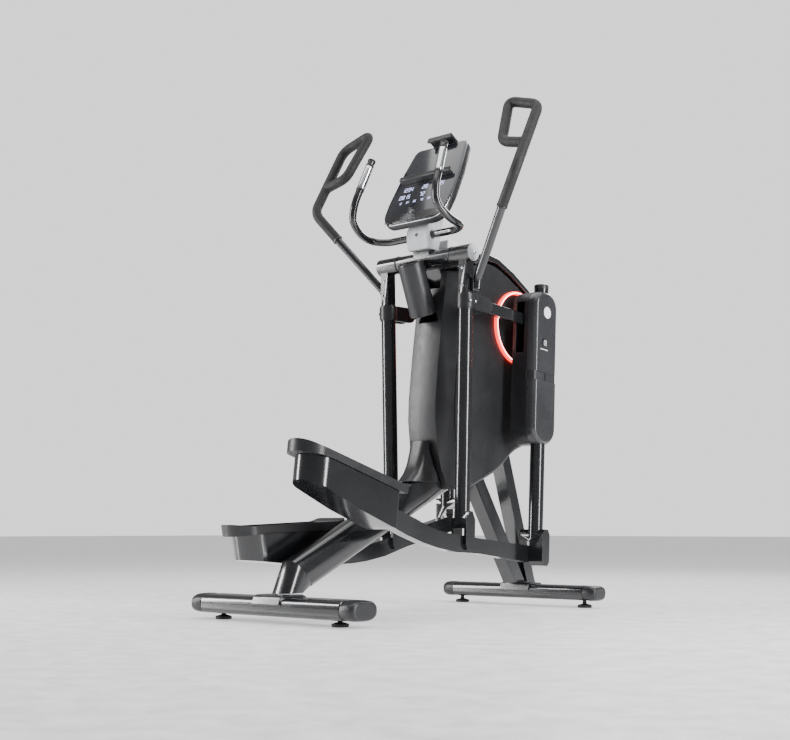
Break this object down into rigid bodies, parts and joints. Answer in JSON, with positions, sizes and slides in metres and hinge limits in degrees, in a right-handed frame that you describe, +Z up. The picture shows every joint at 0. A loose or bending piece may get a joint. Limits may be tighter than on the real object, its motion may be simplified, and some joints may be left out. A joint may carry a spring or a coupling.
{
  "type": "elliptical trainer",
  "caption": "Elliptical trainer with swinging arms, foot pedals on tilting arms, stride rods on an enclosed crank drive, a leaning console and foot beams.",
  "frame": {"origin": "middle of the footprint, on the floor", "axes": "+X to the user's right, +Y forward the way the user faces, +Z up"},
  "size_m": [0.9166, 1.3854, 1.7083],
  "materials": {
    "frame_paint": "satin powder coat",
    "satin_plastic": "fine-textured moulding",
    "gloss_plastic": "polished",
    "panel_plastic": "satin moulding",
    "rubber": "matte foam and rubber",
    "bright_steel": "machined",
    "light_ring": "lit diffuser",
    "pale_plastic": "satin silver moulding",
    "display_glass": "glossy display window"
  },
  "bodies": {
    "base": {"rear_foot_beam": "frame_paint", "front_foot_beam": "frame_paint", "rear_foot_cap_right": "satin_plastic", "rear_foot_cap_left": "satin_plastic", "front_foot_cap_right": "satin_plastic", "front_foot_cap_left": "satin_plastic", "levelling_foot_rear_right": "rubber", "levelling_foot_rear_left": "rubber", "levelling_foot_front_right": "rubber", "levelling_foot_front_left": "rubber", "shroud_right": "panel_plastic", "shroud_left": "panel_plastic", "light_ring_right": "light_ring", "light_ring_left": "light_ring", "main_beam": "frame_paint", "front_fork": "frame_paint", "upright_frame": "frame_paint", "rear_spine": "satin_plastic", "shroud_crown": "gloss_plastic", "beam_boot": "satin_plastic", "drive_belt": "rubber", "brake_yoke": "bright_steel", "console_mast": "pale_plastic", "top_cover": "pale_plastic", "fixed_handlebar": "frame_paint", "bottle_holder": "satin_plastic", "console_housing": "satin_plastic", "display_panel": "display_glass"},
    "crank": {"crank_shaft": "bright_steel", "crank_pulley": "satin_plastic"},
    "flywheel": {"flywheel": "bright_steel"},
    "tablet_clip": {"tablet_clip": "satin_plastic"},
    "transport_wheel_right": {"transport_wheel_right": "rubber"},
    "transport_wheel_left": {"transport_wheel_left": "rubber"},
    "swing_arm_right": {"swing_arm_right": "frame_paint", "link_collar_right": "satin_plastic", "hand_lever_right": "frame_paint", "hand_grip_right": "rubber"},
    "swing_arm_left": {"swing_arm_left": "frame_paint", "link_collar_left": "satin_plastic", "hand_lever_left": "frame_paint", "hand_grip_left": "rubber"},
    "link_pin_right": {"link_pin_right": "bright_steel"},
    "link_pin_left": {"link_pin_left": "bright_steel"},
    "stride_link_right": {"stride_link_right": "frame_paint"},
    "stride_link_left": {"stride_link_left": "frame_paint"},
    "pedal_pin_right": {"pedal_pin_right": "bright_steel"},
    "pedal_pin_left": {"pedal_pin_left": "bright_steel"},
    "pedal_arm_right": {"pedal_arm_right": "frame_paint", "foot_pedal_right": "satin_plastic"},
    "pedal_arm_left": {"pedal_arm_left": "frame_paint", "foot_pedal_left": "satin_plastic"},
    "rod_pin_right": {"rod_pin_right": "bright_steel"},
    "rod_pin_left": {"rod_pin_left": "bright_steel"},
    "stride_rod_right": {"stride_rod_right": "frame_paint", "capsule_inner_right": "satin_plastic", "capsule_cover_right": "gloss_plastic"},
    "stride_rod_left": {"stride_rod_left": "frame_paint", "capsule_inner_left": "satin_plastic", "capsule_cover_left": "gloss_plastic"}
  },
  "joints": [
    {"name": "crank_turn", "type": "hinge", "parent": "base", "child": "crank", "pos_m": [0, 0.43775, 0.9796], "axis": [1, 0, 0], "range_deg": [0, 180]},
    {"name": "flywheel_spin", "type": "hinge", "parent": "base", "child": "flywheel", "pos_m": [0, 0.30775, 0.705], "axis": [1, 0, 0], "range_deg": [0, 1080]},
    {"name": "clip_slide", "type": "slide", "parent": "base", "child": "tablet_clip", "axis": [0, 0.4955, 0.8686], "range_m": [0, 0.05]},
    {"name": "transport_roll_right", "type": "hinge", "parent": "base", "child": "transport_wheel_right", "pos_m": [0.221, 0.66575, 0.046], "axis": [1, 0, 0], "continuous": true},
    {"name": "transport_roll_left", "type": "hinge", "parent": "base", "child": "transport_wheel_left", "pos_m": [-0.221, 0.66575, 0.046], "axis": [1, 0, 0], "continuous": true},
    {"name": "swing_right", "type": "hinge", "parent": "base", "child": "swing_arm_right", "pos_m": [0.175, 0.06475, 1.18], "axis": [1, 0, 0], "range_deg": [-13, 16]},
    {"name": "swing_left", "type": "hinge", "parent": "base", "child": "swing_arm_left", "pos_m": [-0.175, 0.06475, 1.18], "axis": [1, 0, 0], "range_deg": [-16, 13]},
    {"name": "link_swing_right", "type": "hinge", "parent": "swing_arm_right", "child": "link_pin_right", "pos_m": [0.173, 0.14768, 1.01285], "axis": [1, 0, 0], "range_deg": [-16, 13]},
    {"name": "link_swing_left", "type": "hinge", "parent": "swing_arm_left", "child": "link_pin_left", "pos_m": [-0.173, 0.15745, 1.01806], "axis": [1, 0, 0], "range_deg": [-13, 16]},
    {"name": "link_lift_right", "type": "hinge", "parent": "link_pin_right", "child": "stride_link_right", "pos_m": [0.173, 0.14768, 1.01285], "axis": [1, 0, 0], "range_deg": [0, 21.4]},
    {"name": "link_lift_left", "type": "hinge", "parent": "link_pin_left", "child": "stride_link_left", "pos_m": [-0.173, 0.15745, 1.01806], "axis": [1, 0, 0], "range_deg": [-22.6, 0]},
    {"name": "pedal_swing_right", "type": "hinge", "parent": "swing_arm_right", "child": "pedal_pin_right", "pos_m": [0.18, 0.02983, 0.22764], "axis": [1, 0, 0], "range_deg": [-16, 13]},
    {"name": "pedal_swing_left", "type": "hinge", "parent": "swing_arm_left", "child": "pedal_pin_left", "pos_m": [-0.18, 0.08637, 0.22725], "axis": [1, 0, 0], "range_deg": [-13, 16]},
    {"name": "pedal_tilt_right", "type": "hinge", "parent": "pedal_pin_right", "child": "pedal_arm_right", "pos_m": [0.18, 0.02983, 0.22764], "axis": [1, 0, 0], "range_deg": [0, 19]},
    {"name": "pedal_tilt_left", "type": "hinge", "parent": "pedal_pin_left", "child": "pedal_arm_left", "pos_m": [-0.18, 0.08637, 0.22725], "axis": [1, 0, 0], "range_deg": [-18.8, 0]},
    {"name": "rod_swing_right", "type": "hinge", "parent": "pedal_arm_right", "child": "rod_pin_right", "pos_m": [0.2, 0.3819, 0.18705], "axis": [1, 0, 0], "range_deg": [-12.8, 15.7]},
    {"name": "rod_swing_left", "type": "hinge", "parent": "pedal_arm_left", "child": "rod_pin_left", "pos_m": [-0.2, 0.43308, 0.30066], "axis": [1, 0, 0], "range_deg": [-15.7, 12.8]},
    {"name": "rod_tilt_right", "type": "hinge", "parent": "rod_pin_right", "child": "stride_rod_right", "pos_m": [0.2, 0.3819, 0.18705], "axis": [1, 0, 0], "range_deg": [-20.6, 0]},
    {"name": "rod_tilt_left", "type": "hinge", "parent": "rod_pin_left", "child": "stride_rod_left", "pos_m": [-0.2, 0.43308, 0.30066], "axis": [1, 0, 0], "range_deg": [0, 20.3]}
  ],
  "couplings": [
    {"joint": "flywheel_spin", "follows": "crank_turn", "ratio": 6},
    {"joint": "link_lift_right", "follows": "crank_turn", "ratio": 0.11847},
    {"joint": "link_lift_left", "follows": "crank_turn", "ratio": -0.12545},
    {"joint": "pedal_tilt_right", "follows": "crank_turn", "ratio": 0.10547},
    {"joint": "pedal_tilt_left", "follows": "crank_turn", "ratio": -0.10403},
    {"joint": "rod_tilt_right", "follows": "crank_turn", "ratio": -0.11418},
    {"joint": "rod_tilt_left", "follows": "crank_turn", "ratio": 0.11239},
    {"joint": "swing_left", "follows": "swing_right", "ratio": -1},
    {"joint": "link_swing_right", "follows": "swing_right", "ratio": -1},
    {"joint": "link_swing_left", "follows": "swing_right", "ratio": 1},
    {"joint": "pedal_swing_right", "follows": "swing_right", "ratio": -1},
    {"joint": "pedal_swing_left", "follows": "swing_right", "ratio": 1},
    {"joint": "rod_swing_right", "follows": "swing_right", "ratio": 0.98},
    {"joint": "rod_swing_left", "follows": "swing_right", "ratio": -0.98}
  ]
}
